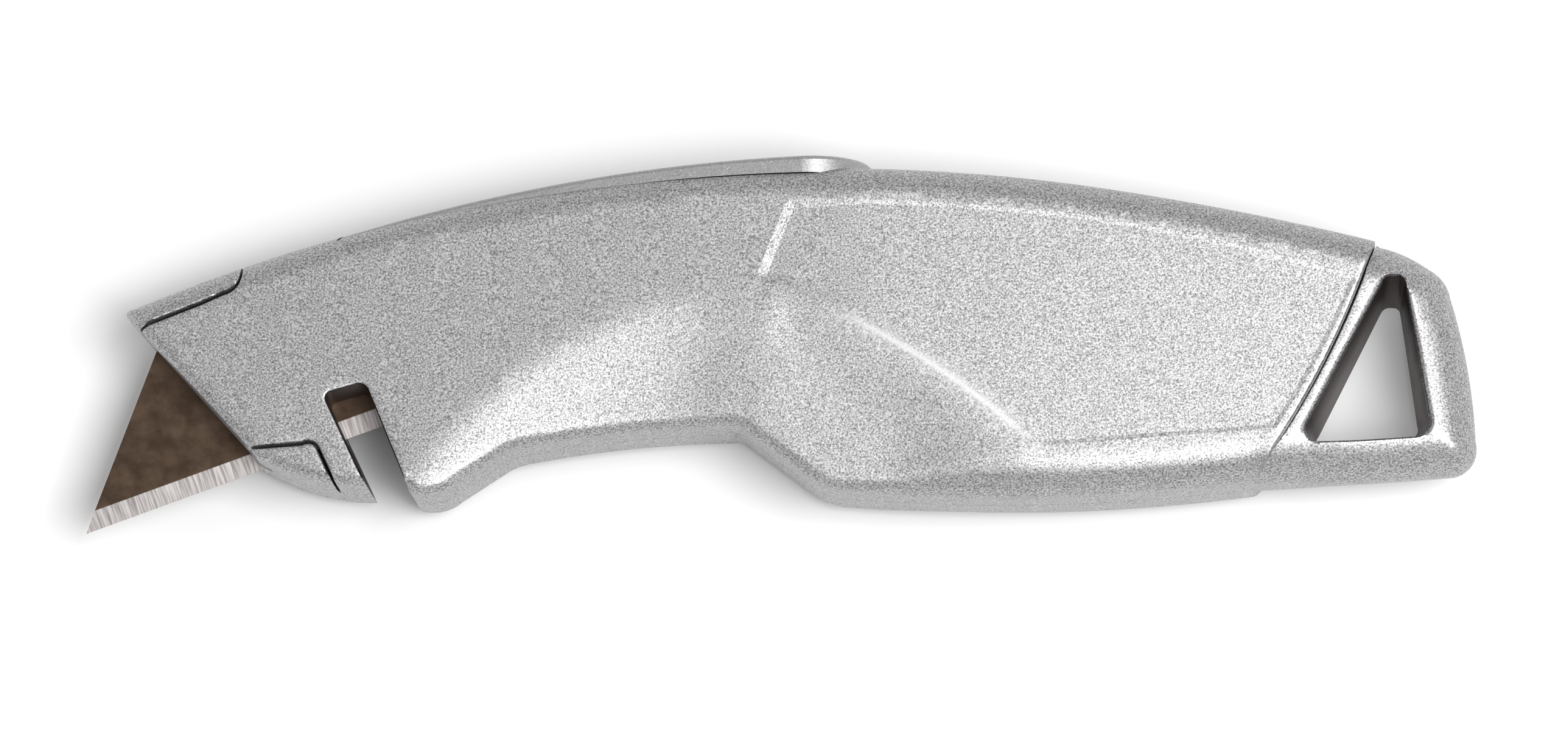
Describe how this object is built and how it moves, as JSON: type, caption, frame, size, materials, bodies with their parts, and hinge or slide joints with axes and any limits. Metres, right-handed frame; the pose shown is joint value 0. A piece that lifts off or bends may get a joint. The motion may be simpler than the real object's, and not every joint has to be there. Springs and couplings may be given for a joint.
{
  "type": "utility knife",
  "caption": "Banana-shaped cast utility knife with a squeeze lever along the spine, a swinging trapezoid blade, a cord notch and a pull-out tail magazine.",
  "frame": {"origin": "middle of the object's bounding box, on the surface it lies on (right side down)", "axes": "+X from the blade tip to the tail loop, +Y from the belly to the spine, +Z from the right side to the left side"},
  "size_m": [0.1702, 0.0446, 0.019],
  "materials": {
    "cast_body": "fine sparkling flake, satin",
    "cast_lever": "fine sparkling flake, satin",
    "cast_tail": "fine sparkling flake, satin",
    "carriage_metal": "dark oxide",
    "magnet": "dull ferrite",
    "bright_steel": "turned",
    "spring_steel": "oiled",
    "blade_steel": "dark oiled flat with a bright ground bevel",
    "lock_metal": "satin",
    "screw_steel": "black zinc"
  },
  "bodies": {
    "housing": {"left_shell": "cast_body", "right_shell": "cast_body", "lever_pivot_pins": "bright_steel", "spring_post": "bright_steel", "return_spring": "spring_steel", "lock_spring": "spring_steel", "magazine_detent": "spring_steel", "case_screws": "screw_steel", "alignment_pins": "bright_steel"},
    "lever": {"squeeze_lever": "cast_lever"},
    "carriage": {"blade_carriage": "carriage_metal", "carriage_magnet": "magnet", "drive_pin": "bright_steel", "blade_clip": "spring_steel", "blade": "blade_steel"},
    "magazine": {"tail_magazine": "cast_tail", "magazine_spring": "spring_steel", "spare_blade_1": "blade_steel", "spare_blade_2": "blade_steel", "spare_blade_3": "blade_steel", "spare_blade_4": "blade_steel"},
    "lock": {"lock_button": "lock_metal"}
  },
  "joints": [
    {"name": "lever_squeeze", "type": "hinge", "parent": "housing", "child": "lever", "pos_m": [-0.05, 0.0095, 0.0095], "axis": [0, 0, 1], "range_deg": [0, 14]},
    {"name": "carriage_swing", "type": "hinge", "parent": "housing", "child": "carriage", "pos_m": [0.004, -0.2015, 0.0095], "axis": [0, 0, -1], "range_deg": [0, 8], "deforming": ["return_spring"]},
    {"name": "magazine_draw", "type": "slide", "parent": "housing", "child": "magazine", "axis": [0.9986, 0.0523, 0], "range_m": [0, 0.056]},
    {"name": "lock_slide", "type": "slide", "parent": "housing", "child": "lock", "axis": [1, 0, 0], "range_m": [0, 0.0028]}
  ],
  "couplings": [
    {"joint": "carriage_swing", "follows": "lever_squeeze", "ratio": 0.57143}
  ]
}
